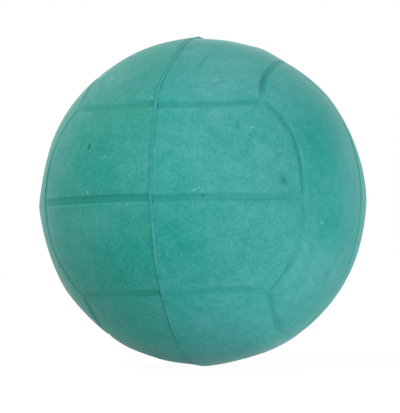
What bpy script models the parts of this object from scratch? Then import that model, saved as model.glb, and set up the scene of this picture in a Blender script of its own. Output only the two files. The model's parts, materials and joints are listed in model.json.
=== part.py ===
"""A moulded foam ball: a soft foam core inside two skin halves that meet at a raised mould seam.

The skin carries a pattern of shallow grooves. Six faces, laid out as on a cube, are parted by twelve
border grooves, and the four upright faces are each split in two by a middle groove. The two mould halves
meet in the plane X = 0, and they were closed with a slight twist about X.

The ball's centre is the origin. The front face looks along -Y, and +Z is up. Sizes are in metres.
"""

import math

import bmesh
import bpy
from mathutils import Matrix, Vector

# Driving dimensions

BALL_DIAMETER = 0.063
SKIN_THICKNESS = 0.002
GROOVE_WIDTH = 0.0015
GROOVE_DEPTH = 0.0005
SEAM_WIDTH = 0.0006
SEAM_HEIGHT = 0.00025
CLEARANCE = 0.0003

# How far the middle of each border lies from the ball's middle planes, as an angle at its centre
SIDE_BORDER_ANGLE = math.radians(34.0)
END_BORDER_ANGLE = math.radians(35.5)
TOP_BORDER_ANGLE = math.radians(33.5)

# A border runs level and turns outwards only near its corners: with a larger power it turns later
BORDER_BEND_POWER = 6

# The left half is turned about X by this much against the right half
MOULD_TWIST = math.radians(0.9)

# Fineness of the meshes: an even count of steps across a face puts a row of edges on its middle line
FACE_STEPS = 12
GROOVE_STEPS = 3
ROUND_STEPS = 48
SEAM_ARC_STEPS = 6

# Sizes that follow from these

BALL_RADIUS = BALL_DIAMETER / 2
SKIN_INNER_RADIUS = BALL_RADIUS - SKIN_THICKNESS
CORE_RADIUS = SKIN_INNER_RADIUS - CLEARANCE
SKIN_START = SEAM_WIDTH / 2 + CLEARANCE

# Distances of the borders' middles, and the corner where three faces meet, on a ball of radius 1
BORDER_MIDDLE = Vector(
    (math.sin(SIDE_BORDER_ANGLE), math.sin(END_BORDER_ANGLE), math.sin(TOP_BORDER_ANGLE))
)
CORNER = BORDER_MIDDLE.normalized()

# Each face as three axes: the one it looks along, the one its panels run along, and the one across them
X, Y, Z = range(3)
FACE_AXES = ((Y, X, Z), (X, Z, Y), (Z, Y, X))

# Top and bottom have no middle groove of their own, because the seam runs there
FACES_WITH_MIDDLE_GROOVE = (X, Y)
ON_PLANE = 1e-5

SKIN_COLOUR = (0.056, 0.386, 0.366)
SEAM_COLOUR = (0.072, 0.407, 0.386)
CORE_COLOUR = (0.120, 0.480, 0.450)
SKIN_ROUGHNESS = 0.75
CORE_ROUGHNESS = 0.95


def clear_scene():
    """Remove the objects that Blender starts with."""
    for thing in list(bpy.data.objects):
        bpy.data.objects.remove(thing, do_unlink=True)


def new_collection(name):
    """Make a collection in the scene."""
    collection = bpy.data.collections.new(name)
    bpy.context.scene.collection.children.link(collection)
    return collection


def new_material(name, colour, roughness):
    """Make a plain material that isn't metallic."""
    material = bpy.data.materials.new(name)
    material.use_nodes = True
    shader = material.node_tree.nodes["Principled BSDF"]
    shader.inputs["Base Color"].default_value = (*colour, 1)
    shader.inputs["Roughness"].default_value = roughness
    shader.inputs["Metallic"].default_value = 0
    return material


def object_from_bmesh(name, bm, collection):
    """Turn a bmesh into an object that is shaded smooth."""
    mesh = bpy.data.meshes.new(name)
    bm.to_mesh(mesh)
    bm.free()
    mesh.shade_smooth()
    thing = bpy.data.objects.new(name, mesh)
    collection.objects.link(thing)
    return thing


def face_axes_at(point):
    """The three axes of the cube face that a point lies on."""
    return next(axes for axes in FACE_AXES if abs(abs(point[axes[0]]) - 1) < ON_PLANE)


def border_distance(axis, share):
    """How far a border lies along an axis. share runs from -1 to 1 between the border's corners."""
    turn_out = abs(share) ** BORDER_BEND_POWER
    return BORDER_MIDDLE[axis] + (CORNER[axis] - BORDER_MIDDLE[axis]) * turn_out


def on_ball(point):
    """Move a point of a cube from -1 to 1 onto a ball of radius 1.

    The cube's edges land on the borders, and the middle lines of its faces stay in the ball's middle planes.
    A row across a face ends on the two borders at its ends, and the rows between share out its height.
    """
    out, along, across = face_axes_at(point)
    end_distance = border_distance(out, point[across])
    end_radius = math.sqrt(1 - end_distance ** 2)
    end_angle = point[across] * math.atan2(CORNER[across], CORNER[along])
    share_of_corner = border_distance(across, point[along]) / CORNER[across]
    height = end_radius * math.sin(end_angle) * share_of_corner
    row_radius = math.sqrt(1 - height ** 2)
    row_angle = point[along] * math.atan2(end_radius * math.cos(end_angle), end_distance)
    place = Vector((0, 0, 0))
    place[across] = height
    place[along] = row_radius * math.sin(row_angle)
    place[out] = math.copysign(row_radius * math.cos(row_angle), point[out])
    return place


def is_groove(edge):
    """Whether an edge of the stepped cube lies on a border or on a middle groove."""
    start, end = (vert.co for vert in edge.verts)
    on_sides = [axis for axis in (X, Y, Z) if abs(abs(start[axis] + end[axis]) - 2) < ON_PLANE]
    if len(on_sides) == 2:
        return True
    _, _, across = face_axes_at((start + end) / 2)
    on_middle = abs(start[across]) < ON_PLANE and abs(end[across]) < ON_PLANE
    return on_middle and on_sides[0] in FACES_WITH_MIDDLE_GROOVE


def grooved_ball():
    """A full ball whose borders and middle lines are pressed in as grooves with flat floors."""
    bm = bmesh.new()
    bmesh.ops.create_cube(bm, size=2)
    bmesh.ops.subdivide_edges(bm, edges=bm.edges[:], cuts=FACE_STEPS - 1, use_grid_fill=True)
    grooves = [edge for edge in bm.edges if is_groove(edge)]
    for vert in bm.verts:
        vert.co = BALL_RADIUS * on_ball(vert.co)
    strips = bmesh.ops.bevel(
        bm,
        geom=grooves,
        affect="EDGES",
        offset_type="OFFSET",
        offset=GROOVE_WIDTH / 2,
        segments=GROOVE_STEPS,
        profile=0.5,
        material=-1,
    )
    strip_faces = set(strips["faces"])
    for vert in bm.verts:
        on_floor = all(face in strip_faces for face in vert.link_faces)
        radius = BALL_RADIUS - GROOVE_DEPTH if on_floor else BALL_RADIUS
        vert.co = radius * vert.co.normalized()
    return bm


def skin_half(name, side, cavity, collection):
    """One half of the skin, from the seam outwards. side is 1 on the right and -1 on the left."""
    bm = grooved_ball()
    bmesh.ops.bisect_plane(
        bm,
        geom=bm.verts[:] + bm.edges[:] + bm.faces[:],
        plane_co=(side * SKIN_START, 0, 0),
        plane_no=(side, 0, 0),
        clear_inner=True,
    )
    rim = [edge for edge in bm.edges if edge.is_boundary]
    bmesh.ops.contextual_create(bm, geom=rim)
    bmesh.ops.recalc_face_normals(bm, faces=bm.faces[:])
    half = object_from_bmesh(name, bm, collection)
    hollow = half.modifiers.new("hollow", "BOOLEAN")
    hollow.operation = "DIFFERENCE"
    hollow.solver = "EXACT"
    hollow.object = cavity
    return half


def round_ball(name, radius, collection):
    """A plain ball with its poles on X, so that its rings run side by side with the seam."""
    bm = bmesh.new()
    bmesh.ops.create_uvsphere(
        bm,
        u_segments=ROUND_STEPS,
        v_segments=ROUND_STEPS // 2,
        radius=radius,
        matrix=Matrix.Rotation(math.pi / 2, 4, "Y"),
    )
    return object_from_bmesh(name, bm, collection)


def seam_profile():
    """The seam's section from its inner edge, out one side, over the rounded crest and back."""
    half_width = SEAM_WIDTH / 2
    section = [Vector((half_width, 0, SKIN_INNER_RADIUS))]
    for step in range(SEAM_ARC_STEPS + 1):
        angle = math.pi * step / SEAM_ARC_STEPS
        x = half_width * math.cos(angle)
        z = BALL_RADIUS + SEAM_HEIGHT * math.sin(angle)
        section.append(Vector((x, 0, z)))
    section.append(Vector((-half_width, 0, SKIN_INNER_RADIUS)))
    return section


def mould_seam(name, collection):
    """The ring between the two halves, turned about X, which stands a little proud of them."""
    bm = bmesh.new()
    ring = [bm.verts.new(point) for point in seam_profile()]
    for first, second in zip(ring, ring[1:] + ring[:1]):
        bm.edges.new((first, second))
    seam = object_from_bmesh(name, bm, collection)
    turn = seam.modifiers.new("turn", "SCREW")
    turn.axis = "X"
    turn.steps = ROUND_STEPS
    turn.render_steps = ROUND_STEPS
    turn.use_merge_vertices = True
    turn.merge_threshold = 1e-6
    turn.use_smooth_shade = True
    return seam


def build():
    """Make the four pieces of the ball and hang them on its centre."""
    clear_scene()
    parts = new_collection("foam_ball")
    cutters = new_collection("cutters")

    skin_finish = new_material("teal_skin", SKIN_COLOUR, SKIN_ROUGHNESS)
    seam_finish = new_material("teal_seam", SEAM_COLOUR, SKIN_ROUGHNESS)
    core_finish = new_material("teal_foam", CORE_COLOUR, CORE_ROUGHNESS)

    cavity = round_ball("cavity", SKIN_INNER_RADIUS, cutters)
    cavity.hide_render = True
    cavity.display_type = "WIRE"

    core = round_ball("foam_core", CORE_RADIUS, parts)
    right = skin_half("skin_right", 1, cavity, parts)
    left = skin_half("skin_left", -1, cavity, parts)
    left.rotation_euler.x = -MOULD_TWIST
    seam = mould_seam("mould_seam", parts)

    finishes = ((core, core_finish), (right, skin_finish), (left, skin_finish), (seam, seam_finish))
    centre = bpy.data.objects.new("ball_centre", None)
    parts.objects.link(centre)
    for piece, finish in finishes:
        piece.data.materials.append(finish)
        piece.parent = centre


build()
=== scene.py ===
# %% [markdown]
# # A moulded foam ball
#
# This lesson dresses a soft foam ball, 63 mm across, of the kind that is thrown, caught and bounced by
# hand. The real ball is pressed from foam rubber in a mould of two halves. A dense skin forms against the
# mould's walls, light foam fills the inside, and a little rubber squeezes out where the halves meet. So
# the ball has four pieces: two skin halves, the ring of flash between them, and the foam core. The packed
# CAD model is loaded first, because every piece here has to sit where that model says.

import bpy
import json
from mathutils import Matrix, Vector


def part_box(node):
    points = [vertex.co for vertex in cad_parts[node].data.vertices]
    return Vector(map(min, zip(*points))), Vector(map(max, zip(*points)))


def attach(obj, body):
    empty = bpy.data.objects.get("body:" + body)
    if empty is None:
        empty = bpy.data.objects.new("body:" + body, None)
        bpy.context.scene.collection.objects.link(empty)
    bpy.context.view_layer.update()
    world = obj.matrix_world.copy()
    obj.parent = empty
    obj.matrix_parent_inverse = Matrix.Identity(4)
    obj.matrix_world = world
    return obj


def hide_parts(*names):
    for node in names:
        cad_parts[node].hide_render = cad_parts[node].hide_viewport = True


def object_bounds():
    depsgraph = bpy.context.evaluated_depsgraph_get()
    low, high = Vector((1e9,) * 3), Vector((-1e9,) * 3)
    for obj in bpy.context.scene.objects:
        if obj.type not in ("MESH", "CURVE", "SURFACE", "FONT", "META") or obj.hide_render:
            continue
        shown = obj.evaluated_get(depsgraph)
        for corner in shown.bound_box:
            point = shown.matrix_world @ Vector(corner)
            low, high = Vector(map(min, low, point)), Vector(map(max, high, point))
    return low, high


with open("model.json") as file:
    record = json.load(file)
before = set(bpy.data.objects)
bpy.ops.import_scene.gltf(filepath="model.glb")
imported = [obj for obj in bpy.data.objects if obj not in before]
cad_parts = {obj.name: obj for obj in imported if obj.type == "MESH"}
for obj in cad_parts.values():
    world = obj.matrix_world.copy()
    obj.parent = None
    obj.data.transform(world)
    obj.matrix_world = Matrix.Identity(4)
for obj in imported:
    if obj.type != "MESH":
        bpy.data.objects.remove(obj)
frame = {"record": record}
cad_low, cad_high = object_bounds()
print("CAD box in metres:", list(cad_low), list(cad_high))

# %% [markdown]
# Sizes could be typed in again, but then they could drift away from the CAD model. The ball's radius is
# written in the record, and the seam's width and the core's radius are read from the boxes of their
# nodes.

# %% Sizes of the ball
import json
import math

import bmesh
import bpy
from mathutils import Matrix, Vector, geometry, noise
from mathutils.kdtree import KDTree

MM = 0.001
BALL_CENTRE = (0, 0, 0)
BALL_RADIUS = frame["record"]["mounts"][0]["dims"]["r_mm"] * MM
seam_low, seam_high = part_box("mould_seam")
SEAM_WIDTH = seam_high.x - seam_low.x
CORE_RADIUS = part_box("foam_core")[1].x
print(f"ball {BALL_RADIUS / MM:.1f} mm, seam {SEAM_WIDTH / MM:.1f} mm, core {CORE_RADIUS / MM:.1f} mm")

# %% [markdown]
# The photograph was taken from a little to the right of the seam and slightly below the ball's middle,
# and the ball fills most of the picture. A long lens half a metre away gives that view. The camera looks
# straight at the ball's centre, and a small lens shift puts the ball where it lies in the picture.

# %% The camera
PHOTO_WIDTH = 400
PHOTO_HEIGHT = 413
BALL_CENTRE_PIXEL = Vector((203.2, 201.8))
BALL_RADIUS_PIXELS = 162.8
CAMERA_TURN = math.radians(17.8)
CAMERA_RISE = math.radians(-1.2)
CAMERA_ROLL = math.radians(1.1)
CAMERA_DISTANCE = 0.51
SENSOR_WIDTH = 36

level_right = Vector((math.cos(CAMERA_TURN), math.sin(CAMERA_TURN), 0))
camera_back = Vector((math.sin(CAMERA_TURN), -math.cos(CAMERA_TURN), 0)) * math.cos(CAMERA_RISE)
camera_back.z = math.sin(CAMERA_RISE)
level_up = camera_back.cross(level_right)
camera_right = level_right * math.cos(CAMERA_ROLL) - level_up * math.sin(CAMERA_ROLL)
camera_up = level_right * math.sin(CAMERA_ROLL) + level_up * math.cos(CAMERA_ROLL)
camera_place = camera_back * CAMERA_DISTANCE

focal_pixels = BALL_RADIUS_PIXELS * math.sqrt((CAMERA_DISTANCE / BALL_RADIUS) ** 2 - 1)
long_side = max(PHOTO_WIDTH, PHOTO_HEIGHT)
camera_data = bpy.data.cameras.new("camera")
camera_data.sensor_width = SENSOR_WIDTH
camera_data.lens = focal_pixels * SENSOR_WIDTH / long_side
camera_data.shift_x = (PHOTO_WIDTH / 2 - BALL_CENTRE_PIXEL.x) / long_side
camera_data.shift_y = (BALL_CENTRE_PIXEL.y - PHOTO_HEIGHT / 2) / long_side
camera = bpy.data.objects.new("camera", camera_data)
camera_axes = Matrix((camera_right, camera_up, camera_back)).transposed()
camera.matrix_world = Matrix.Translation(camera_place) @ camera_axes.to_4x4()
bpy.context.scene.collection.objects.link(camera)
bpy.context.scene.camera = camera
print(f"camera with a {camera_data.lens:.0f} mm lens at", [round(value, 3) for value in camera_place])

# %% [markdown]
# Small marks on the skin are placed where the photograph shows them. A pixel is a ray from the camera,
# and the mark lies where that ray first meets the ball. Every mark is kept as a direction from the ball's
# centre.

# %% From a pixel to a spot on the ball
def spot_on_ball(pixel):
    """The direction, from the ball's centre, of the spot that a pixel of the photograph shows."""
    right, down = (Vector(pixel) - BALL_CENTRE_PIXEL) / focal_pixels
    ray = (camera_right * right - camera_up * down - camera_back).normalized()
    to_middle = -ray.dot(camera_place)
    miss_squared = camera_place.length_squared - to_middle ** 2
    to_skin = to_middle - math.sqrt(max(BALL_RADIUS ** 2 - miss_squared, 0))
    return (camera_place + ray * to_skin).normalized()


def spots_of(places):
    """The spot, reach in metres and amount of each place in a table."""
    return [(spot_on_ball(pixel), reach * MM, amount) for pixel, reach, amount in places.values()]


def limb(degrees):
    """The direction of a spot on the ball's outline, counted anticlockwise from the picture's right."""
    angle = math.radians(degrees)
    return camera_right * math.cos(angle) + camera_up * math.sin(angle)


print("the picture's middle shows the spot", spot_on_ball((PHOTO_WIDTH / 2, PHOTO_HEIGHT / 2)))

# %% [markdown]
# The skin's pattern is that of a ball sewn from panels, but it is only pressed into the rubber. Six faces
# lie as on a cube, and the four upright faces are split in two by a middle groove. So the sheet of skin
# starts as a cube, cut into small squares, whose points are moved out onto the ball. The cube's edges
# then become the border grooves. A border runs level and bends outwards only near its corners, which a
# high power gives.

# %% The panel pattern
SIDE_BORDER_ANGLE = math.radians(34.0)
END_BORDER_ANGLE = math.radians(35.5)
TOP_BORDER_ANGLE = math.radians(33.5)
BORDER_BEND_POWER = 6

X, Y, Z = range(3)
FACE_AXES = ((Y, X, Z), (X, Z, Y), (Z, Y, X))
FACES_WITH_MIDDLE_GROOVE = (X, Y)
ON_PLANE = 1e-5
BORDER_MIDDLE = Vector(
    (math.sin(SIDE_BORDER_ANGLE), math.sin(END_BORDER_ANGLE), math.sin(TOP_BORDER_ANGLE))
)
CORNER = BORDER_MIDDLE.normalized()


def face_axes_at(point):
    """Three axes of the cube face that a point lies on: outwards, along its panels and across them."""
    return next(axes for axes in FACE_AXES if abs(abs(point[axes[0]]) - 1) < ON_PLANE)


def border_distance(axis, share):
    """How far a border lies along an axis. share runs from -1 to 1 between the border's corners."""
    turn_out = abs(share) ** BORDER_BEND_POWER
    return BORDER_MIDDLE[axis] + (CORNER[axis] - BORDER_MIDDLE[axis]) * turn_out


def on_ball(point):
    """Move a point of a cube from -1 to 1 onto a ball of radius 1."""
    out, along, across = face_axes_at(point)
    end_distance = border_distance(out, point[across])
    end_radius = math.sqrt(1 - end_distance ** 2)
    end_angle = point[across] * math.atan2(CORNER[across], CORNER[along])
    share_of_corner = border_distance(across, point[along]) / CORNER[across]
    height = end_radius * math.sin(end_angle) * share_of_corner
    row_radius = math.sqrt(1 - height ** 2)
    row_angle = point[along] * math.atan2(end_radius * math.cos(end_angle), end_distance)
    place = Vector((0, 0, 0))
    place[across] = height
    place[along] = row_radius * math.sin(row_angle)
    place[out] = math.copysign(row_radius * math.cos(row_angle), point[out])
    return place


def is_groove(edge):
    """Whether an edge of the stepped cube lies on a border or on a middle groove."""
    start, end = (vert.co for vert in edge.verts)
    on_sides = [axis for axis in (X, Y, Z) if abs(abs(start[axis] + end[axis]) - 2) < ON_PLANE]
    if len(on_sides) == 2:
        return True
    _, _, across = face_axes_at((start + end) / 2)
    on_middle = abs(start[across]) < ON_PLANE and abs(end[across]) < ON_PLANE
    return on_middle and on_sides[0] in FACES_WITH_MIDDLE_GROOVE


FACE_STEPS = 30
sheet = bmesh.new()
bmesh.ops.create_cube(sheet, size=2)
bmesh.ops.subdivide_edges(sheet, edges=sheet.edges[:], cuts=FACE_STEPS - 1, use_grid_fill=True)
groove_edges = [edge for edge in sheet.edges if is_groove(edge)]
for vert in sheet.verts:
    vert.co = BALL_RADIUS * on_ball(vert.co)
print(f"stepped ball with {len(sheet.faces)} squares and {len(groove_edges)} groove edges")

# %% [markdown]
# Later, each point of the skin has to know how far it is from the nearest groove. The groove edges are
# sampled into a k-d tree, which answers that question quickly. The grooves are then bevelled into strips
# with several rows, and everything is cut finer, so that the mesh is dense where the skin bends most.

# %% Groove lines, and a sheet that is dense along them
GROOVE_SAMPLES = 10
STRIP_HALF_WIDTH = 1.0 * MM
STRIP_STEPS = 6
ROUND_PROFILE = 0.5
FINE_CUTS = 2

def put_on_ball(bm):
    """Move every point of a mesh out onto the ball."""
    for vert in bm.verts:
        vert.co = BALL_RADIUS * vert.co.normalized()


groove_lines = KDTree(len(groove_edges) * GROOVE_SAMPLES)
for number, edge in enumerate(groove_edges):
    start, end = (vert.co for vert in edge.verts)
    for sample in range(GROOVE_SAMPLES):
        point = start.lerp(end, (sample + 0.5) / GROOVE_SAMPLES)
        groove_lines.insert(BALL_RADIUS * point.normalized(), number)
groove_lines.balance()

bmesh.ops.bevel(
    sheet,
    geom=groove_edges,
    affect="EDGES",
    offset_type="OFFSET",
    offset=STRIP_HALF_WIDTH,
    segments=STRIP_STEPS,
    profile=ROUND_PROFILE,
    material=-1,
)
put_on_ball(sheet)
bmesh.ops.subdivide_edges(sheet, edges=sheet.edges[:], cuts=FINE_CUTS, use_grid_fill=True)
put_on_ball(sheet)
print(f"sheet of {len(sheet.faces)} faces, {len(sheet.verts)} points")

# %% [markdown]
# The grooves are shallow and soft, with a flat floor, and the two mould halves were cut a little
# differently. They aren't equally deep along their way: the mould is worn, and in places a groove almost
# fades. Each such place is a spot with a reach and the share of its depth that a groove loses there. A
# loss below nothing makes it deeper.

# %% Groove section and worn places
LEFT, RIGHT = -1, 1
GROOVE_DEPTH = {LEFT: 0.22 * MM, RIGHT: 0.32 * MM}
GROOVE_FLOOR = {LEFT: 0.50 * MM, RIGHT: 0.38 * MM}
GROOVE_LIP = {LEFT: 0.95 * MM, RIGHT: 0.92 * MM}
# Share by which a groove is mixed towards the darker groove teal: less bloom, and painted shade.
GROOVE_BARE_AND_SHADE_SHARE = {LEFT: 0.95, RIGHT: 0.55}

WORN_PLACES = {
    "rise at the upper right": ((263, 80), 3.5, -0.5),
    "end of the rise": ((289.4, 63.9), 4.0, 0.9),
    "upper corner on the right": ((263, 98), 1.6, 0.7),
    "end arc, upper part": ((292, 140), 6.0, 0.40),
    "end arc below the middle": ((299, 240), 3.5, 0.85),
    "end arc, lower part": ((280, 278), 3.5, 0.50),
    "lower corner on the right": ((262, 289), 2.5, 0.4),
    "fall at the lower right": ((273, 310), 4.0, 0.35),
    "end of the fall": ((295.3, 335.8), 4.5, 0.95),
    "end panels' groove, middle": ((357, 205), 12.0, 0.5),
    "end panels' groove, upper part": ((333, 105), 9.0, 0.8),
    "end panels' groove, lower part": ((333, 292), 10.0, 0.9),
    "middle groove on the right": ((225, 196), 12.0, 0.18),
    "middle groove by the end arc": ((296, 195), 2.5, 0.5),
    "middle groove at the right end": ((330, 193), 5.0, 0.9),
    "lower border by the seam": ((178, 292), 3.0, 0.5),
    "lower border on the left": ((110, 293), 7.0, 0.6),
    "upper border on the left": ((110, 106), 6.0, 0.55),
    "upper corner on the left": ((84, 104), 3.5, 0.6),
    "lower corner on the left": ((84, 297), 3.5, 0.35),
    "left end arc, upper part": ((56, 142), 6.0, 0.6),
    "left end arc, lower part": ((51, 240), 7.0, 0.6),
}
worn_spots = spots_of(WORN_PLACES)


def bell(distance, reach):
    """1 at no distance, falling softly to nothing beyond about twice the reach."""
    return math.exp(-((distance / reach) ** 2))


def ease(value, low, high):
    """0 up to low, 1 from high, with a smooth step between them."""
    share = min(max((value - low) / (high - low), 0), 1)
    return share * share * (3 - 2 * share)


def gap_between(direction, spot):
    """How far two directions lie apart on the ball's surface, in metres."""
    return (direction - spot).length * BALL_RADIUS


def groove_at(direction, side, pattern_turn):
    """How deep the skin is pressed in at a spot, from 0 on a panel to 1 on a full groove's floor."""
    distance = groove_lines.find(BALL_RADIUS * (direction @ pattern_turn))[2]
    depth = 1 - ease(distance, GROOVE_FLOOR[side], GROOVE_LIP[side])
    if depth == 0:
        return 0
    for spot, reach, loss in worn_spots:
        depth *= 1 - loss * bell(gap_between(direction, spot), reach)
    return depth


print(f"{len(WORN_PLACES)} worn places along the grooves")

# %% [markdown]
# A pattern that is laid out by a formula is a little too regular. Where the real grooves run beside the
# formula, the skin is pushed along itself: each drift has a pixel where the formula puts the groove, the
# pixel where it really is, and a reach.

# %% How the pattern drifts
PATTERN_DRIFTS = {
    "rise at the upper right": ((267, 78), (265.2, 77.2), 3.5),
    "end arc, middle": ((304, 193), (303.2, 193), 5.0),
    "end arc, upper part": ((293, 140), (293.7, 139.7), 5.0),
    "upper border on the left": ((110, 105.5), (110, 106.3), 6.0),
    "lower border on the right": ((225, 291), (225, 289.1), 7.0),
    "middle groove on the right": ((265, 194), (265, 195.2), 5.0),
    "end panels' groove, upper part": ((333.8, 110.4), (334.9, 109.6), 10.0),
    "fall at the lower right": ((287, 327), (282.6, 327.5), 5.0),
    "end panels' groove, lower part": ((355.7, 242.7), (354.3, 242.3), 9.0),
}
pattern_drifts = [
    (spot_on_ball(planned), spot_on_ball(real) - spot_on_ball(planned), reach * MM)
    for planned, real, reach in PATTERN_DRIFTS.values()
]


def drifted(place):
    """A place on the skin after the pattern's drift, at the same distance from the ball's centre."""
    direction = place.normalized()
    push = Vector((0, 0, 0))
    for spot, step, reach in pattern_drifts:
        push += step * bell(gap_between(direction, spot), reach)
    return place.length * (direction + push).normalized()


print(f"{len(PATTERN_DRIFTS)} drifts of the pattern")

# %% [markdown]
# No moulded foam ball is quite round. Its halves swell a little towards the seam, which leaves a low keel
# there, they were closed slightly out of line, and the foam pulls in here and there as it cools. The
# outline in the photograph shows where: each swell or dip has an angle round the outline, a height in
# millimetres and a reach in degrees. Slow noise does the same for the sides that it doesn't show.

# %% How round the ball is
KEEL_HEIGHT = 0.26 * MM
KEEL_SPREAD = 2.6 * MM
HALF_SLIP = 0.10 * MM
SLOW_SIZE = 14 * MM
SLOW_HEIGHT = 0.08 * MM
ROLLING_SIZE = 4 * MM
ROLLING_HEIGHT = 0.012 * MM

OUTLINE_SWELLS = {
    "swell at the right": (1, 0.11, 5),
    "dip at the right": (19, -0.19, 7),
    "swell at the upper right": (40, 0.26, 8),
    "notch at the rise": (57, -0.36, 4),
    "swell beside the rise": (69, 0.30, 5),
    "right of the crown": (80, 0.14, 6),
    "left shoulder": (109, 0.04, 8),
    "dip at the upper left": (127, -0.12, 7),
    "flat above the left arc": (167, -0.35, 7),
    "swell at the left": (182, 0.28, 5),
    "flat below the left arc": (197, -0.24, 6),
    "swell below the left arc": (213, 0.18, 6),
    "swell at the lower left": (242, 0.27, 8),
    "swell left of the foot": (256, 0.17, 6),
    "flat at the lower right": (285, -0.32, 7),
    "dip below the right": (348, -0.08, 6),
}
outline_swells = [
    (limb(degrees), height * MM, math.radians(reach) * BALL_RADIUS)
    for degrees, height, reach in OUTLINE_SWELLS.values()
]


def keel(sideways):
    """How far the skin swells at a distance from the parting plane."""
    return KEEL_HEIGHT * math.exp(-abs(sideways) / KEEL_SPREAD)


def unevenness(direction):
    """How far the ball stands above or below a true ball of its size, away from grooves and seam."""
    place = direction * BALL_RADIUS
    height = SLOW_HEIGHT * noise.noise(place / SLOW_SIZE)
    height += ROLLING_HEIGHT * noise.noise(place / ROLLING_SIZE)
    for spot, swell, reach in outline_swells:
        height += swell * bell(gap_between(direction, spot), reach)
    return height


print(f"keel of {KEEL_HEIGHT / MM:.2f} mm, {len(OUTLINE_SWELLS)} swells and dips on the outline")

# %% [markdown]
# The seam isn't a perfect circle either: it wanders to the left and right by up to half a millimetre.
# Skin and flash both follow the same wander, so that they stay joined. An angle along the seam is counted
# from the front, upwards. Each wander has such an angle, a shift in millimetres and a reach in degrees.

# %% How the seam wanders
WANDER_REACH = 5 * MM
SEAM_WANDERS = {
    "left of the crown": (62, 0.45, 12),
    "dent above the top border": (38, -0.55, 14),
    "return below the top border": (26, 0.22, 8),
    "above the middle": (11, 0.12, 8),
    "step below the middle": (-11, 0.28, 9),
    "bow below the middle": (-37, 0.30, 14),
    "bow above the foot": (-53, 0.22, 9),
    "return at the foot": (-72, -0.28, 18),
    "back, upper": (140, 0.25, 20),
    "back, lower": (-130, -0.20, 24),
}


def seam_angle(place):
    """The angle along the seam, in degrees: 0 at the front, 90 at the top, -90 at the bottom."""
    return math.degrees(math.atan2(place.z, -place.y))


def angle_between(first, second):
    """The turn from one angle in degrees to another, the short way round."""
    return (first - second + 180) % 360 - 180


def along_seam(place, changes):
    """What a table of changes along the seam adds up to near a place, in metres."""
    angle = seam_angle(place)
    return sum(
        amount * MM * bell(angle_between(angle, middle), reach)
        for middle, amount, reach in changes.values()
    )


def wander(place):
    """How far the seam is carried sideways near a place."""
    return along_seam(place, SEAM_WANDERS) * bell(place.x, WANDER_REACH)


print("the seam wanders at", ", ".join(SEAM_WANDERS))

# %% [markdown]
# Air caught against the mould leaves pinholes in the skin. Along the end arc and the fall, fine crack
# lines are pressed in a little and painted dark, as painted shade for the shaded groove walls. Handling
# leaves pale flecks and spots where the bloom is rubbed off; rubbed spots take the groove's darker
# colour, which is partly painted shade. Pale lines on the outer lips of the end arc are painted
# highlights. Each mark is a short stroke between two pixels, with a half width in millimetres and a
# strength. The mesh is dense enough along the grooves, and is cut finer around the other strokes.
# Pinholes and crack lines are pressed into it, and all the marks are kept as attributes that the
# material reads.

# %% Pinholes, cracks, flecks and rubbed spots
PINHOLE_DEPTH = 0.16 * MM
RUB_DEPTH = 0.10 * MM
PINHOLES = {
    "upper left panel": ((89.3, 145.8), (89.1, 148.6), 0.30, 1.0),
    "in the middle groove": ((202.6, 194.8), (203.4, 194.8), 0.15, 0.9),
    "by the end arc": ((284.2, 178.6), (284.8, 180.6), 0.30, 0.32),
}
RUBS = {
    "by the end arc": ((282.6, 175.8), (284.8, 180.8), 0.60, 0.9),
    "crease near the top": ((206, 56), (198, 68), 0.42, 0.45),
    "upper right panel": ((238, 122.5), (238.8, 126), 0.18, 0.8),
    "upper right panel, left": ((229, 116), (230, 116.6), 0.18, 0.7),
    "upper right panel, right": ((252.6, 129), (253.4, 129.6), 0.18, 0.7),
    "right of the middle": ((246.4, 150.5), (247.4, 151), 0.20, 0.8),
    "above the middle groove": ((232, 173.4), (232.6, 174.4), 0.18, 0.7),
    "right end": ((300, 105), (301, 105.5), 0.24, 0.8),
}
FLECKS = {
    "above the middle groove, left": ((193.6, 190), (194.6, 189), 0.18, 0.8),
    "above the middle groove, middle": ((197.6, 187.4), (199.4, 186.4), 0.13, 0.55),
    "above the middle groove, right": ((201.2, 189.6), (203.4, 190.6), 0.12, 0.55),
    "near the top": ((213.5, 79.6), (217.8, 79.4), 0.15, 0.8),
    "upper right panel": ((252, 127), (253, 127), 0.18, 0.6),
    "beside the seam": ((152.8, 150.2), (153.8, 151), 0.20, 0.7),
    "by the upper border": ((154, 98), (154.8, 98.6), 0.15, 0.7),
    "left, on the middle groove": ((87, 191.6), (87.1, 194), 0.16, 0.7),
    "right end": ((321.5, 221.5), (322.5, 222.5), 0.18, 0.7),
    "upper left panel": ((102.5, 157.6), (106, 157.4), 0.12, 0.5),
    "below the middle": ((166, 252), (167, 254), 0.24, 0.3),
    "left, below the middle groove": ((126, 204.6), (126.6, 205.4), 0.15, 0.5),
    "left shoulder": ((138.4, 62.6), (139.2, 63.2), 0.15, 0.5),
}
# Dark lines along the end arc and the fall: painted shade for the shaded groove walls, pressed in a
# little.
CRACK_SHADE_LINES = {
    "start of the end arc": ((266.4, 101), (279.6, 114), 0.24, 0.26),
    "upper part of the end arc": ((279.6, 114), (291.6, 132), 0.25, 0.36),
    "middle of the end arc": ((291.6, 132), (301, 162.3), 0.26, 0.40),
    "end arc by the middle groove": ((301, 162.3), (303.4, 192), 0.26, 0.28),
    "lower part of the end arc": ((289.5, 264.5), (271, 290), 0.26, 0.32),
    "upper part of the fall": ((269.4, 295), (273, 312), 0.22, 0.22),
    "lower part of the fall": ((273, 312), (282.5, 331), 0.22, 0.20),
}
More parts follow.
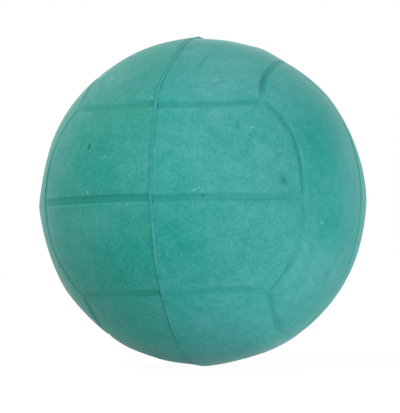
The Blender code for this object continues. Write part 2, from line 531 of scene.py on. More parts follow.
# Pale lines on the outer lips of the end arc: painted highlights.
LIP_HIGHLIGHTS = {
    "upper part of the end arc": ((284.4, 112), (299.8, 147.5), 0.26, 0.10),
    "middle of the end arc": ((299.8, 147.5), (306.6, 184), 0.28, 0.13),
    "end arc by the middle groove": ((306.6, 184), (307, 208), 0.28, 0.15),
}
FINE_REACH = 1.0 * MM
MARK_CUTS = 4


def strokes_of(marks):
    """The ends, half width and strength of each mark, as spots on the ball and metres."""
    return [
        (spot_on_ball(start), spot_on_ball(end), half_width * MM, strength)
        for start, end, half_width, strength in marks.values()
    ]


def gap_to_stroke(direction, start, end):
    """How far a spot lies from the nearest point of a stroke, in metres."""
    share = geometry.intersect_point_line(direction, start, end)[1]
    nearest = start.lerp(end, min(max(share, 0), 1))
    return gap_between(direction, nearest)


def strongest_mark(direction, strokes):
    """How strongly a spot is marked by the nearest of some strokes, from 0 to 1."""
    return max(
        strength * bell(gap_to_stroke(direction, start, end), width)
        for start, end, width, strength in strokes
    )


def cut_finer_near(bm, strokes):
    """Divide the faces of a mesh that lie around some strokes."""
    near = set()
    for face in bm.faces:
        middle = face.calc_center_median().normalized()
        if any(gap_to_stroke(middle, start, end) < FINE_REACH for start, end, _, _ in strokes):
            near.update(face.edges)
    bmesh.ops.subdivide_edges(bm, edges=list(near), cuts=MARK_CUTS, use_grid_fill=True)


pinholes = strokes_of(PINHOLES)
rubs = strokes_of(RUBS)
flecks = strokes_of(FLECKS)
small_marks = pinholes + rubs + flecks
pinholes_and_shade_lines = pinholes + strokes_of(CRACK_SHADE_LINES)
flecks_and_lip_highlights = flecks + strokes_of(LIP_HIGHLIGHTS)
print(f"{len(rubs)} rubbed spots, {len(pinholes_and_shade_lines)} dark marks and {len(flecks_and_lip_highlights)} pale ones")

# %% [markdown]
# A pale bloom of wax and dust lies on the rubber. It isn't even: some places were handled more, some were
# sheltered. The broad patches are placed, again by pixel, with a reach and the share of bloom
# that is added or missing there. Noise in the material later breaks them up.

# %% Where the bloom lies
# Besides real bloom, some patches change how light a place looks: the lower left panel is made darker,
# and less bloom left of the foot is painted shade.
BLOOM_AND_SHADE_PATCHES = {
    "crown": ((226, 67), 7.0, 0.48),
    "left of the crown": ((187, 50), 3.5, 0.48),
    "above the top border": ((209, 87), 3.0, 0.26),
    "below the top border": ((218, 116), 2.8, 0.40),
    "right of the seam, by the top border": ((162, 108), 4.0, -0.32),
    "right of the seam, above the middle": ((174, 168), 5.0, -0.28),
    "right of the seam, below the middle": ((177, 248), 7.0, -0.30),
    "right of the seam, by the lower border": ((174, 288), 4.0, -0.18),
    "by the end arc": ((270, 160), 4.0, 0.20),
    "by the middle groove": ((270, 183), 2.5, 0.20),
    "below the middle groove": ((220, 207), 2.5, -0.18),
    "above the foot": ((201, 302), 3.0, -0.20),
    "right of the seam, above the foot": ((173, 307), 2.5, -0.24),
    "beside the end arc": ((312, 176), 3.0, -0.22),
    "right end, above the middle": ((328, 145), 6.5, -0.55),
    "right end": ((334, 214), 5.0, -0.34),
    "right end, lower edge of the worn patch": ((328, 238), 3.0, -0.22),
    "right end, below the middle": ((312, 280), 6.5, 0.34),
    "right edge, above the middle": ((349, 160), 3.5, -0.20),
    "right edge": ((338, 275), 3.5, 0.40),
    "foot": ((228, 338), 8.0, 0.34),
    "right shoulder": ((324, 108), 3.0, -0.18),
    "above the middle groove": ((231, 187), 2.5, -0.16),
    "left shoulder": ((122, 78), 6.0, 0.52),
    "left shoulder, by the seam": ((167, 53), 2.5, 0.20),
    "left of the seam": ((146, 145), 2.0, -0.26),
    "left of the seam, below the middle": ((147, 254), 2.5, -0.18),
    "left of the seam, below the top border": ((145, 122), 3.5, -0.20),
    "left of the seam, above the middle": ((140, 148), 4.5, 0.18),
    "upper left panel": ((108, 158), 5.0, -0.28),
    "upper left panel, by the border": ((123, 126), 3.5, -0.26),
    "upper left panel, outer end": ((81, 133), 4.0, -0.22),
    "left edge, above the middle": ((55, 165), 4.5, 0.40),
    "left edge": ((60, 234), 5.0, 0.30),
    "left, below the middle groove": ((123, 212), 3.0, 0.20),
    "lower left panel": ((124, 258), 9.0, -0.28),
    # Painted shade: less bloom darkens this place.
    "left of the foot": ((128, 335), 3.5, -0.20),
}
bloom_and_shade_patches = spots_of(BLOOM_AND_SHADE_PATCHES)


def bloom_and_shade_patch(direction, side):
    """How much more or less bloom than usual lies at a spot, or painted shade where a patch stands for
    it. A patch stays on its own half.
    """
    return sum(
        amount * bell(gap_between(direction, spot), reach)
        for spot, reach, amount in bloom_and_shade_patches
        if spot.x * side > 0
    )


print(f"{len(BLOOM_AND_SHADE_PATCHES)} patches of bloom")

# %% [markdown]
# Each half of the skin is a shell: the grooved sheet outside, a plain wall inside that is bonded to the
# foam, and a rim at the seam. The full sheet is turned a degree or so, as the mould half was, and cut at
# the seam. Extra rows of edges beside the cut carry the creases that the flash leaves there. A crease is
# pressed in a little and also painted darker, as painted shade beside the flash. A crease has an angle
# along the seam, a reach in degrees, a strength on each side, and millimetres by which it is set back
# from the cut. The inner wall is half of a plain ball, and a bridge between the two rims closes the
# shell.

# %% Making one half of the skin
BOND_GAP = 0.05 * MM
SKIN_INNER_RADIUS = CORE_RADIUS + BOND_GAP
MID_SKIN_RADIUS = (SKIN_INNER_RADIUS + BALL_RADIUS) / 2
SEAM_GAP = 0.02 * MM
SKIN_START = SEAM_WIDTH / 2 + SEAM_GAP
SEAM_ROWS = (0.08, 0.16, 0.26, 0.38, 0.55, 0.8, 1.2, 1.8)
SNAP = 0.01 * MM
WALL_STEPS = 96

CREASE_WIDTH = 0.24 * MM
CREASE_DEPTH = 0.08 * MM
# How strongly a crease is painted darker, as painted shade beside the flash, in the groove and pinhole
# notes.
CREASE_PAINTED_SHADE = 0.9
CREASE_PAINTED_DARK = 0.22
CREASE_LEAST = 0.3
CREASES = {
    "crown": (82, 10, {LEFT: 0.15, RIGHT: 0.25}, 0),
    "beside the crown": (62, 18, {LEFT: 0.2, RIGHT: 0.2}, 0.5),
    "below the crown": (47, 9, {LEFT: 0.12, RIGHT: 0.18}, 0),
    "above the middle panels": (29, 8, {LEFT: 0.8, RIGHT: 0.1}, 0),
    "above the middle": (10, 9, {LEFT: 0.9, RIGHT: 0.0}, 0),
    "below the middle": (-12, 9, {LEFT: 1.0, RIGHT: 0.45}, 0),
    "by the lower border": (-29, 6, {LEFT: 0.4, RIGHT: 0.0}, 0),
    "above the foot": (-48, 12, {LEFT: 1.0, RIGHT: 0.2}, 0),
    "back, upper": (140, 40, {LEFT: 0.6, RIGHT: 0.6}, 0),
    "back, lower": (-120, 40, {LEFT: 0.6, RIGHT: 0.6}, 0),
}
RAGGED_SIZE = 0.9 * MM


def ragged(place, least, side):
    """A share that changes along the seam, from least to about 1, and differs on the two sides."""
    along = Vector((side, place.y / RAGGED_SIZE, place.z / RAGGED_SIZE))
    return least + (1 - least) * (0.5 + noise.noise(along))


def crease(place, side):
    """How strongly the skin is creased beside the flash, from 0 to 1: its dent and its painted shade."""
    angle = seam_angle(place)
    gap = abs(place.x) - SKIN_START
    share = sum(
        shares[side] * bell(angle_between(angle, middle), reach) * bell(gap - set_back * MM, CREASE_WIDTH)
        for middle, reach, shares, set_back in CREASES.values()
    )
    return min(share, 1) * ragged(place, CREASE_LEAST, side)


def cut_at_seam(bm, elements, sideways, side, keep_all=False):
    """Cut through some of a mesh beside the parting plane, and drop what lies towards the plane."""
    bmesh.ops.bisect_plane(
        bm,
        geom=elements,
        dist=SNAP,
        plane_co=(side * sideways, 0, 0),
        plane_no=(side, 0, 0),
        clear_inner=not keep_all,
    )


def everything(bm):
    """All the elements of a mesh, in the form that an operator takes."""
    return bm.verts[:] + bm.edges[:] + bm.faces[:]


def shape_skin(bm, side, pattern_turn):
    """Press grooves, creases and pinholes into the outside of a half, and note where they are."""
    notes = {name: bm.verts.layers.float.new(name) for name in ("groove", "bloom", "fleck_and_highlight", "pinhole_and_shade")}
    for vert in bm.verts:
        if vert.co.length < MID_SKIN_RADIUS:
            continue
        direction = vert.co.normalized()
        groove = groove_at(direction, side, pattern_turn)
        rub = strongest_mark(direction, rubs)
        pinhole_and_shade = strongest_mark(direction, pinholes_and_shade_lines)
        creased = crease(vert.co, side)
        # Grooves, rubbed spots and creases get less bloom and painted shade in this note.
        vert[notes["groove"]] = max(groove * GROOVE_BARE_AND_SHADE_SHARE[side], rub, creased * CREASE_PAINTED_SHADE)
        # Pinholes are dark; the crack lines and crease edges in this note are painted shade.
        vert[notes["pinhole_and_shade"]] = max(pinhole_and_shade, creased * CREASE_PAINTED_DARK)
        # Flecks are pale; the lip lines in this note are painted highlights.
        vert[notes["fleck_and_highlight"]] = strongest_mark(direction, flecks_and_lip_highlights)
        # Bloom patches, one of which is painted shade.
        vert[notes["bloom"]] = bloom_and_shade_patch(direction, side)
        height = keel(vert.co.x) + unevenness(direction) - CREASE_DEPTH * creased
        height -= GROOVE_DEPTH[side] * groove + RUB_DEPTH * rub + PINHOLE_DEPTH * pinhole_and_shade
        vert.co = direction * (BALL_RADIUS + height)


def skin_half(side, pattern_turn):
    """One half of the skin as a closed shell. side is 1 on the right and -1 on the left."""
    half = sheet.copy()
    bmesh.ops.transform(half, matrix=pattern_turn.to_4x4(), verts=half.verts[:])
    cut_at_seam(half, everything(half), SKIN_START, side)
    for row in SEAM_ROWS:
        cut_at_seam(half, everything(half), SKIN_START + row * MM, side, keep_all=True)
    cut_finer_near(half, [stroke for stroke in small_marks if stroke[0].x * side > 0])
    outer_rim = [edge for edge in half.edges if edge.is_boundary]

    wall = bmesh.ops.create_uvsphere(
        half,
        u_segments=WALL_STEPS,
        v_segments=WALL_STEPS // 2,
        radius=SKIN_INNER_RADIUS,
        matrix=Matrix.Rotation(math.pi / 2, 4, "Y"),
    )
    wall_faces = list({face for vert in wall["verts"] for face in vert.link_faces})
    wall_edges = list({edge for face in wall_faces for edge in face.edges})
    bmesh.ops.reverse_faces(half, faces=wall_faces)
    cut_at_seam(half, wall["verts"] + wall_edges + wall_faces, SKIN_START, side)
    rims = [edge for edge in half.edges if edge.is_boundary]
    print(f"half {side}: outer rim {len(outer_rim)} edges, inner rim {len(rims) - len(outer_rim)}")
    bmesh.ops.bridge_loops(half, edges=rims)
    bmesh.ops.recalc_face_normals(half, faces=half.faces[:])

    shape_skin(half, side, pattern_turn)
    for vert in half.verts:
        vert.co = drifted(vert.co)
        vert.co += Vector((wander(vert.co), 0, -side * HALF_SLIP))
    return half


SHARP_ANGLE = math.radians(50)


def piece_from(bm, name):
    """Turn a mesh into a finished object at the origin, smooth but for its real edges."""
    mesh = bpy.data.meshes.new(name)
    bm.to_mesh(mesh)
    bm.free()
    mesh.shade_smooth()
    mesh.set_sharp_from_angle(angle=SHARP_ANGLE)
    piece = bpy.data.objects.new(name, mesh)
    bpy.context.scene.collection.objects.link(piece)
    mesh.calc_loop_triangles()
    print(f"{name}: {len(mesh.loop_triangles)} triangles")
    return piece


def turned(x_degrees, y_degrees, z_degrees):
    """A turn about X, then about Y, then about Z."""
    turn = Matrix.Rotation(math.radians(z_degrees), 3, "Z")
    turn = turn @ Matrix.Rotation(math.radians(y_degrees), 3, "Y")
    return turn @ Matrix.Rotation(math.radians(x_degrees), 3, "X")


# %% [markdown]
# The halves of the mould weren't closed quite in line. So each half of the skin has a small turn of its
# own, and the grooves don't meet exactly at the seam.

# %% The two halves
RIGHT_TURN = turned(-0.1, -1.0, 0.2)
LEFT_TURN = turned(-0.4, -0.6, 0.4)
skin_right = piece_from(skin_half(RIGHT, RIGHT_TURN), "right_half")
skin_left = piece_from(skin_half(LEFT, LEFT_TURN), "left_half")

# %% [markdown]
# The flash is the thin web of rubber that was squeezed into the mould's joint and torn off. Its section
# is a strip as deep as the skin with a rounded crest, and a spin about X turns it into a ring. Where more
# rubber got out, the crest stands up as a fine ridge: each rise has an angle along the seam, a height in
# millimetres and a reach in degrees. Elsewhere it is almost flush, and all of it is a little ragged. Each
# point keeps a note of its height, because the material paints a high crest paler, as a painted highlight
# on the ridge, and a low one darker, as painted shade beside it.

# %% The ring of flash
SEAM_STEPS = 720
CREST_STEPS = 10
LOW_CREST = 0.03 * MM
FULL_CREST = 0.15 * MM
CREST_LEAST = 0.6
CREST_RISES = {
    "below the middle": (-12, 0.14, 9),
    "above the foot": (-47, 0.12, 13),
    "above the middle panels": (38, 0.06, 14),
    "at the crown": (89, 0.30, 5),
    "below the crown": (58, 0.04, 14),
    "back, upper": (135, 0.08, 25),
    "back, lower": (-140, 0.09, 30),
}


def crest_height(place):
    """How far the flash stands above the skin beside it."""
    return (LOW_CREST + along_seam(place, CREST_RISES)) * ragged(place, CREST_LEAST, 0)


def flash_section():
    """The strip's outline from its inner edge, out on the right, over the crest and back on the left.

    The crest is drawn with a height of one millimetre, and gets its real height later.
    """
    half_width = SEAM_WIDTH / 2
    outline = [Vector((half_width, 0, SKIN_INNER_RADIUS))]
    for step in range(CREST_STEPS + 1):
        angle = math.pi * step / CREST_STEPS
        rise = MM * math.sin(angle) ** 2
        outline.append(Vector((half_width * math.cos(angle), 0, BALL_RADIUS + rise)))
    outline.append(Vector((-half_width, 0, SKIN_INNER_RADIUS)))
    return outline


flash = bmesh.new()
outline = [flash.verts.new(point) for point in flash_section()]
outline_edges = [flash.edges.new(pair) for pair in zip(outline, outline[1:] + outline[:1])]
bmesh.ops.spin(
    flash,
    geom=outline + outline_edges,
    cent=BALL_CENTRE,
    axis=(1, 0, 0),
    angle=math.tau,
    steps=SEAM_STEPS,
    use_merge=True,
)
bmesh.ops.recalc_face_normals(flash, faces=flash.faces[:])
crest_note = flash.verts.layers.float.new("crest")
for vert in flash.verts:
    radius = math.hypot(vert.co.y, vert.co.z)
    if radius > MID_SKIN_RADIUS:
        crest = (radius - BALL_RADIUS) / MM * crest_height(vert.co)
        vert[crest_note] = min(crest / FULL_CREST, 1)
        skin_beside = keel(vert.co.x) + unevenness(vert.co.normalized())
        grown = (BALL_RADIUS + crest + skin_beside) / radius
        vert.co = Vector((vert.co.x, vert.co.y * grown, vert.co.z * grown))
    vert.co.x += wander(vert.co)
seam_flash = piece_from(flash, "flash_ring")

# %% [markdown]
# Nobody sees the foam inside, but the ball is made of it, and someone may cut the model open. The core is
# a ball of fine triangles whose surface is pulled in cell by cell, as foam is where it is torn from its
# skin.

# %% The foam core
CORE_SUBDIVISIONS = 6
CELL_SIZE = 2.4 * MM
CELL_DEPTH = 0.35 * MM
CELL_WALL = 0.5

core = bmesh.new()
bmesh.ops.create_icosphere(core, subdivisions=CORE_SUBDIVISIONS, radius=CORE_RADIUS)
for vert in core.verts:
    distances, _ = noise.voronoi(vert.co / CELL_SIZE)
    in_cell = ease(distances[1] - distances[0], 0, CELL_WALL)
    vert.co -= vert.co.normalized() * CELL_DEPTH * in_cell
foam_core = piece_from(core, "foam_filling")

# %% [markdown]
# The finishes are made of nodes. A few small functions make the kinds of node that come again and again,
# set their sockets and link them, and one makes an empty node group.

# %% Helpers for nodes
NOISE_ROUGHNESS = 0.55


def set_inputs(node, **values):
    """Set a node's inputs, which are named with _ for a space."""
    for name, value in values.items():
        node.inputs[name.replace("_", " ")].default_value = value


def feed(tree, socket, value):
    """Give a socket its value: another socket, a linear colour or a number."""
    if isinstance(value, bpy.types.NodeSocket):
        tree.links.new(value, socket)
    elif isinstance(value, tuple):
        socket.default_value = (*value, 1)
    else:
        socket.default_value = value


def noise_output(tree, place, size, detail):
    """A noise from 0 to 1 whose lumps are about one size across."""
    texture = tree.nodes.new("ShaderNodeTexNoise")
    set_inputs(texture, Scale=1 / size, Detail=detail, Roughness=NOISE_ROUGHNESS)
    tree.links.new(place, texture.inputs["Vector"])
    return texture.outputs["Fac"]


def spread(tree, value, low, high, to_low, to_high):
    """Map the range from low to high onto another range, and clamp it there."""
    node = tree.nodes.new("ShaderNodeMapRange")
    set_inputs(node, From_Min=low, From_Max=high, To_Min=to_low, To_Max=to_high)
    tree.links.new(value, node.inputs["Value"])
    return node.outputs["Result"]


def combine(tree, operation, first, second):
    """A Math node between two values, each a socket or a number."""
    node = tree.nodes.new("ShaderNodeMath")
    node.operation = operation
    feed(tree, node.inputs[0], first)
    feed(tree, node.inputs[1], second)
    return node.outputs["Value"]


def mix_colours(tree, share, first, second):
    """Mix two colours, each a socket or a linear colour, by a share."""
    node = tree.nodes.new("ShaderNodeMix")
    node.data_type = "RGBA"
    tree.links.new(share, node.inputs["Factor"])
    for name, colour in (("A", first), ("B", second)):
        socket = next(s for s in node.inputs if s.name == name and s.type == "RGBA")
        feed(tree, socket, colour)
    return next(s for s in node.outputs if s.type == "RGBA")


def new_group(name, inputs, outputs):
    """An empty shader node group with named sockets. Both lists hold a name and a socket type."""
    group = bpy.data.node_groups.new(name, "ShaderNodeTree")
    for socket_name, kind in inputs:
        group.interface.new_socket(socket_name, in_out="INPUT", socket_type=kind)
    for socket_name, kind in outputs:
        group.interface.new_socket(socket_name, in_out="OUTPUT", socket_type=kind)
    start = group.nodes.new("NodeGroupInput")
    end = group.nodes.new("NodeGroupOutput")
    return group, start.outputs, end.inputs


print("node helpers ready")

# %% [markdown]
# The rubber is a strong teal, but a pale bloom of wax and dust lies on the panels, and less of it in the
# grooves. Three sizes of noise make the bloom: broad blotches, a mottle of a few millimetres, and a fine
# grain. The same noises also make the rubber a little lighter and darker. Each noise has a size, a
# detail, and how far it swings the bloom and the tone. Skin, flash and foam all use it, so it is a node
# group with named sockets, and each material gives it its own colours.

# %% The bloom on the rubber
BLOOM_NOISES = {
    "blotches": (11 * MM, 2, 0.20, 0.03),
    "mottle": (2.2 * MM, 3, 0.14, 0.06),
    "grain": (0.55 * MM, 2, 0.10, 0.07),
}
NOISE_LOW = 0.25
NOISE_HIGH = 0.75
BARE_ROUGHNESS = 0.55
DUSTY_ROUGHNESS = 0.8
DUSTY_FROM = 0.7

bloom_group, bloom_in, bloom_out = new_group(
    "rubber bloom",
    [
        ("Place", "NodeSocketVector"),
        ("Rubber", "NodeSocketColor"),
        ("Bloom", "NodeSocketColor"),
        ("Amount", "NodeSocketFloat"),
        ("Patch", "NodeSocketFloat"),
    ],
    [("Colour", "NodeSocketColor"), ("Roughness", "NodeSocketFloat")],
)
bloom = combine(bloom_group, "ADD", bloom_in["Amount"], bloom_in["Patch"])
tone = 1
for size, detail, bloom_swing, tone_swing in BLOOM_NOISES.values():
    texture = noise_output(bloom_group, bloom_in["Place"], size, detail)
    swung = spread(bloom_group, texture, NOISE_LOW, NOISE_HIGH, -1, 1)
    bloom = combine(bloom_group, "ADD", bloom, combine(bloom_group, "MULTIPLY", swung, bloom_swing))
    tone = combine(bloom_group, "ADD", tone, combine(bloom_group, "MULTIPLY", swung, tone_swing))
bloom = spread(bloom_group, bloom, 0, 1, 0, 1)
bloomed = mix_colours(bloom_group, bloom, bloom_in["Rubber"], bloom_in["Bloom"])
toned = bloom_group.nodes.new("ShaderNodeHueSaturation")
bloom_group.links.new(bloomed, toned.inputs["Color"])
bloom_group.links.new(tone, toned.inputs["Value"])
bloom_group.links.new(toned.outputs["Color"], bloom_out["Colour"])
roughness = spread(bloom_group, bloom, 0, DUSTY_FROM, BARE_ROUGHNESS, DUSTY_ROUGHNESS)
bloom_group.links.new(roughness, bloom_out["Roughness"])
print("bloom group with", len(bloom_group.nodes), "nodes")

# %% [markdown]
# Under the light, the skin shows a fine orange-peel grain with tiny pores, the print of the foam on the
# mould. That is too fine for the mesh, so a second group makes it as a height for a Bump node.

# %% The grain of the skin
PEEL_SIZE = 0.9 * MM
PEEL_DETAIL = 4
PORE_SPACING = 0.5 * MM
PORE_SHARE = 0.35

grain_group, grain_in, grain_out = new_group(
    "moulded grain",
    [("Place", "NodeSocketVector"), ("Pores", "NodeSocketFloat")],
    [("Height", "NodeSocketFloat")],
)
peel = noise_output(grain_group, grain_in["Place"], PEEL_SIZE, PEEL_DETAIL)
cells = grain_group.nodes.new("ShaderNodeTexVoronoi")
set_inputs(cells, Scale=1 / PORE_SPACING)
grain_group.links.new(grain_in["Place"], cells.inputs["Vector"])
pores = spread(grain_group, cells.outputs["Distance"], 0, PORE_SHARE, -1, 0)
pores = combine(grain_group, "MULTIPLY", pores, grain_in["Pores"])
grain_group.links.new(combine(grain_group, "ADD", peel, pores), grain_out["Height"])
print("grain group with", len(grain_group.nodes), "nodes")

# %% [markdown]
# The skin reads the notes that were left on its mesh. Grooves, creases and rubbed spots are mixed
# towards a darker teal: the bloom is thin there, and the darker colour is also painted shade for the
# shade in those hollows. A pinhole is dark, and the crack lines and crease edges in the same note are
# painted shade. Flecks are almost white, and the lip lines in the same note are painted highlights. The
# flash is painted darker where its crest is low, as painted shade, and paler where it stands up, as a
# painted highlight; it has dark nicks where it was torn off. A constant sheen gives the pale edge that a
# dusty surface has when it is seen at a low angle.

# %% Materials for skin and flash
RUBBER_TEAL = {LEFT: (0.018, 0.362, 0.300), RIGHT: (0.018, 0.364, 0.326)}
BLOOM_TEAL = (0.118, 0.446, 0.436)
BLOOM_AMOUNT = {LEFT: 0.33, RIGHT: 0.41}
# Bare rubber darkened as painted shade, for grooves, creases, rubbed spots and the flash's low crest.
SHADED_BARE_TEAL = {LEFT: (0.020, 0.318, 0.262), RIGHT: (0.020, 0.318, 0.288)}
# Pinholes and flash nicks, and the painted shade of crack lines and crease edges.
PINHOLE_AND_SHADE_TEAL = (0.010, 0.140, 0.125)
# Painted highlight on a high crest of the flash.
CREST_HIGHLIGHT_PALE = (0.085, 0.47, 0.43)
# Flecks, and the painted highlights on the lips of the end arc.
FLECK_AND_HIGHLIGHT_PALE = (0.26, 0.60, 0.57)
DUSTY_SHEEN = {"Specular_IOR_Level": 0.2, "Sheen_Weight": 0.30, "Sheen_Roughness": 0.3}
GRAIN_HEIGHT = 0.05 * MM
SKIN_PORES = 0.5
FLASH_PORES = 0.2
NICK_SIZE = 1.0 * MM
NICK_DETAIL = 1
NICK_FROM = 0.53
NICK_FULL = 0.66
NICK_SHADE = 0.45
# How far a low crest is painted darker, as painted shade beside the ridge.
LOW_CREST_PAINTED_SHADE = 0.4
HALF_CREST = 0.5
HIGH_CREST = 0.62


def bloomed_rubber(name, rubber, bloom_colour, bloom_amount, pores):
    """A rubber material with bloom and grain. Returns it with its tree, shader and bloom node."""
    material = bpy.data.materials.new(name)
    material.use_nodes = True
    tree = material.node_tree
    shader = tree.nodes["Principled BSDF"]
    place = tree.nodes.new("ShaderNodeTexCoord").outputs["Object"]

    bloom_node = tree.nodes.new("ShaderNodeGroup")
    bloom_node.node_tree = bloom_group
    set_inputs(bloom_node, Rubber=(*rubber, 1), Bloom=(*bloom_colour, 1), Amount=bloom_amount)
    tree.links.new(place, bloom_node.inputs["Place"])
    tree.links.new(bloom_node.outputs["Roughness"], shader.inputs["Roughness"])
    tree.links.new(bloom_node.outputs["Colour"], shader.inputs["Base Color"])

    grain_node = tree.nodes.new("ShaderNodeGroup")
    grain_node.node_tree = grain_group
    set_inputs(grain_node, Pores=pores)
    tree.links.new(place, grain_node.inputs["Place"])
    bump = tree.nodes.new("ShaderNodeBump")
    set_inputs(bump, Strength=1, Distance=GRAIN_HEIGHT)
    tree.links.new(grain_node.outputs["Height"], bump.inputs["Height"])
    tree.links.new(bump.outputs["Normal"], shader.inputs["Normal"])
    return material, tree, shader, bloom_node


def note_from_mesh(tree, name):
    """A number that was kept on the mesh, as a socket."""
    node = tree.nodes.new("ShaderNodeAttribute")
    node.attribute_name = name
    return node.outputs["Fac"]


def marked_skin(name, side):
    """The finish of one skin half, with the marks that its mesh keeps."""
    material, tree, shader, bloom_node = bloomed_rubber(
        name, RUBBER_TEAL[side], BLOOM_TEAL, BLOOM_AMOUNT[side], SKIN_PORES
    )
    set_inputs(shader, **DUSTY_SHEEN)
    tree.links.new(note_from_mesh(tree, "bloom"), bloom_node.inputs["Patch"])
    colour = bloom_node.outputs["Colour"]
    colour = mix_colours(tree, note_from_mesh(tree, "groove"), colour, SHADED_BARE_TEAL[side])
    colour = mix_colours(tree, note_from_mesh(tree, "pinhole_and_shade"), colour, PINHOLE_AND_SHADE_TEAL)
    colour = mix_colours(tree, note_from_mesh(tree, "fleck_and_highlight"), colour, FLECK_AND_HIGHLIGHT_PALE)
    tree.links.new(colour, shader.inputs["Base Color"])
    return material


def torn_flash(name):
    """The finish of the flash: painted shade and nicks where its crest is low, a painted highlight where
    it stands up.
    """
    material, tree, shader, bloom_node = bloomed_rubber(
        name, RUBBER_TEAL[RIGHT], BLOOM_TEAL, BLOOM_AMOUNT[RIGHT], FLASH_PORES
    )
    set_inputs(shader, **DUSTY_SHEEN)
    crest = note_from_mesh(tree, "crest")
    crest_shade = spread(tree, crest, 0, HALF_CREST, LOW_CREST_PAINTED_SHADE, 0)
    crest_highlight = spread(tree, crest, HIGH_CREST, 1, 0, 1)
    place = tree.nodes.new("ShaderNodeTexCoord").outputs["Object"]
    torn = noise_output(tree, place, NICK_SIZE, NICK_DETAIL)
    nicks = spread(tree, torn, NICK_FROM, NICK_FULL, 0, NICK_SHADE)
    nicks = combine(tree, "MULTIPLY", nicks, crest_shade)
    colour = mix_colours(tree, crest_shade, bloom_node.outputs["Colour"], SHADED_BARE_TEAL[LEFT])
    colour = mix_colours(tree, crest_highlight, colour, CREST_HIGHLIGHT_PALE)
    colour = mix_colours(tree, nicks, colour, PINHOLE_AND_SHADE_TEAL)
    tree.links.new(colour, shader.inputs["Base Color"])
    return material


seam_flash.data.materials.append(torn_flash("flash"))
skin_right.data.materials.append(marked_skin("right_skin", RIGHT))
skin_left.data.materials.append(marked_skin("left_skin", LEFT))
print("skin and flash have their finish")

# %% [markdown]
# Torn foam is paler and duller than the skin, because its thin cell walls scatter the light. It has the
# same two groups, with paler colours and stronger pores.

# %% Material for the foam
FOAM_TEAL = (0.10, 0.44, 0.41)
FOAM_PALE = (0.20, 0.55, 0.52)
FOAM_BLOOM = 0.5
FOAM_PORES = 1.5
foam_finish = bloomed_rubber("foam", FOAM_TEAL, FOAM_PALE, FOAM_BLOOM, FOAM_PORES)[0]
foam_core.data.materials.append(foam_finish)
print("foam has its finish")

# %% [markdown]
# The ball lies on a plain white floor. The floor sends light back up to the ball like white paper, but to
# the camera it shows mostly a glow of its own, so that it looks white and keeps only a faint shadow. Away
# from the ball the glow rises to full white, and the floor's edge can't be told from the backdrop. Under
# the ball, a little to its right, the floor also gives some light, like a light table, or the foot would
# be too dark.

# %% Floor
FLOOR_SIZE = 6
FLOOR_SHADE = 0.70
FLOOR_SEEN_SHADE = 0.09
FLOOR_GLOW = 0.955
GLOW_FROM = 0.08
GLOW_TO = 0.40
UNDER_GLOW = 0.14
UNDER_FROM = 0.038
UNDER_TO = 0.044
UNDER_PLACE = (0.013, 0.0042, 0)

floor_mesh = bmesh.new()
bmesh.ops.create_grid(
    floor_mesh,
    x_segments=1,
    y_segments=1,
    size=FLOOR_SIZE / 2,
    matrix=Matrix.Translation((0, 0, cad_low.z)),
)
floor = piece_from(floor_mesh, "floor")


def seen_directly(tree):
    """1 for rays from the camera and for reflections, and 0 for rays that carry light."""
    path = tree.nodes.new("ShaderNodeLightPath").outputs
    seen = combine(tree, "MAXIMUM", path["Is Camera Ray"], path["Is Glossy Ray"])
    return combine(tree, "MAXIMUM", seen, path["Is Transmission Ray"])


def distance_from(tree, place, point):
    """How far a place lies from a fixed point, as a socket."""
    node = tree.nodes.new("ShaderNodeVectorMath")
    node.operation = "DISTANCE"
    node.inputs[1].default_value = point
    tree.links.new(place, node.inputs[0])
    return node.outputs["Value"]


floor_finish = bpy.data.materials.new("white_floor")
floor_finish.use_nodes = True
floor_tree = floor_finish.node_tree
floor_tree.nodes.remove(floor_tree.nodes["Principled BSDF"])
matte = floor_tree.nodes.new("ShaderNodeBsdfDiffuse")
glow = floor_tree.nodes.new("ShaderNodeEmission")
floor_sum = floor_tree.nodes.new("ShaderNodeAddShader")
seen = seen_directly(floor_tree)
shade = spread(floor_tree, seen, 0, 1, FLOOR_SHADE, FLOOR_SEEN_SHADE)
floor_tree.links.new(shade, matte.inputs["Color"])
floor_place = floor_tree.nodes.new("ShaderNodeTexCoord").outputs["Object"]
from_ball = distance_from(floor_tree, floor_place, BALL_CENTRE)
whiteness = spread(floor_tree, from_ball, GLOW_FROM, GLOW_TO, FLOOR_GLOW, 1)
seen_glow = combine(floor_tree, "MULTIPLY", seen, whiteness)
from_under = distance_from(floor_tree, floor_place, UNDER_PLACE)
under = spread(floor_tree, from_under, UNDER_FROM, UNDER_TO, UNDER_GLOW, 0)
under = combine(floor_tree, "MULTIPLY", under, combine(floor_tree, "SUBTRACT", 1, seen))
floor_tree.links.new(combine(floor_tree, "ADD", seen_glow, under), glow.inputs["Strength"])
floor_tree.links.new(matte.outputs["BSDF"], floor_sum.inputs[0])
floor_tree.links.new(glow.outputs["Emission"], floor_sum.inputs[1])
floor_tree.links.new(floor_sum.outputs["Shader"], floor_tree.nodes["Material Output"].inputs["Surface"])
floor.data.materials.append(floor_finish)
print("floor at", round(cad_low.z / MM, 2), "mm")

# %% [markdown]
# The light is soft and comes from nearly all round, as in a white photo tent. A large lamp overhead on
# the left gives most of it, and a bright card that stands low at the front right lights the rest of the
# front. A white sheet of paper on the floor lights the lower right from below. Three lamps behind the
# ball brighten its rim. Only the lower left stays darker. The room adds a little from everywhere, and
# looks white to the camera. Each lamp has a place, a point that it shines at, a width and a height in
# metres, a power in watts and a colour.

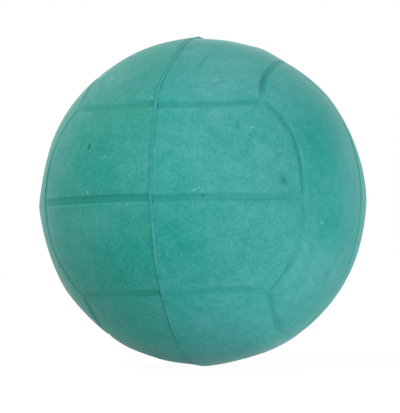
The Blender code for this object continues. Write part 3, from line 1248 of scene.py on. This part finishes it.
# %% World and lamps
ROOM_LIGHT = 0.03
WARM = (1, 1, 0.94)
BACK_WARM = (1, 1, 0.95)
PAPER_WARM = (1, 1, 0.97)
COOL = (0.90, 0.96, 1)
PAPER_PLACE = (0.054, -0.004, -0.031)
ABOVE_PAPER = (0.054, -0.004, 0)
LAMPS = {
    "overhead": ((-0.43, -0.36, 0.72), BALL_CENTRE, 0.6, 0.6, 5.2, WARM),
    "front_card": ((0.22, -0.22, 0.015), BALL_CENTRE, 0.3, 0.05, 0.545, COOL),
    "back_right": ((0.48, 0.76, 0.10), BALL_CENTRE, 0.6, 0.25, 1.4, BACK_WARM),
    "back_top": ((0.15, 0.50, 0.75), BALL_CENTRE, 0.6, 0.6, 1.5, BACK_WARM),
    "back_left": ((-0.66, 0.55, 0.30), BALL_CENTRE, 0.5, 0.5, 1.6, BACK_WARM),
    "paper": (PAPER_PLACE, ABOVE_PAPER, 0.08, 0.08, 0.0036, PAPER_WARM),
}

world = bpy.data.worlds.new("white_room")
world.use_nodes = True
world_tree = world.node_tree
room = world_tree.nodes["Background"]
set_inputs(room, Color=(*WARM, 1), Strength=ROOM_LIGHT)
backdrop = world_tree.nodes.new("ShaderNodeBackground")
set_inputs(backdrop, Color=(1, 1, 1, 1), Strength=1)
world_mix = world_tree.nodes.new("ShaderNodeMixShader")
world_tree.links.new(seen_directly(world_tree), world_mix.inputs["Fac"])
world_tree.links.new(room.outputs["Background"], world_mix.inputs[1])
world_tree.links.new(backdrop.outputs["Background"], world_mix.inputs[2])
world_tree.links.new(world_mix.outputs["Shader"], world_tree.nodes["World Output"].inputs["Surface"])
bpy.context.scene.world = world


def soft_lamp(name, place, towards, width, height, power, colour):
    """An oblong lamp at a place that shines towards another place."""
    data = bpy.data.lights.new(name, "AREA")
    data.shape = "RECTANGLE"
    data.size = width
    data.size_y = height
    data.energy = power
    data.color = colour
    lamp = bpy.data.objects.new(name, data)
    lamp.location = place
    lamp.rotation_euler = (Vector(towards) - Vector(place)).to_track_quat("-Z", "Y").to_euler()
    lamp.visible_camera = False
    bpy.context.scene.collection.objects.link(lamp)


for name, lamp in LAMPS.items():
    soft_lamp(name, *lamp)
bpy.context.scene.view_settings.view_transform = "Standard"

# %% [markdown]
# Last, each piece is attached to the whole ball, which is one body, and the CAD node that it stands for
# is hidden. The table also lists the slot of the record for each piece's finish, which nothing here
# reads.

# %% Attach the pieces and hide their CAD parts
STANDS_FOR = (
    (skin_right, "skin_right", "skin"),
    (skin_left, "skin_left", "skin"),
    (seam_flash, "mould_seam", "seam"),
    (foam_core, "foam_core", "foam"),
)
for piece, node, slot in STANDS_FOR:
    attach(piece, "root")
    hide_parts(node)
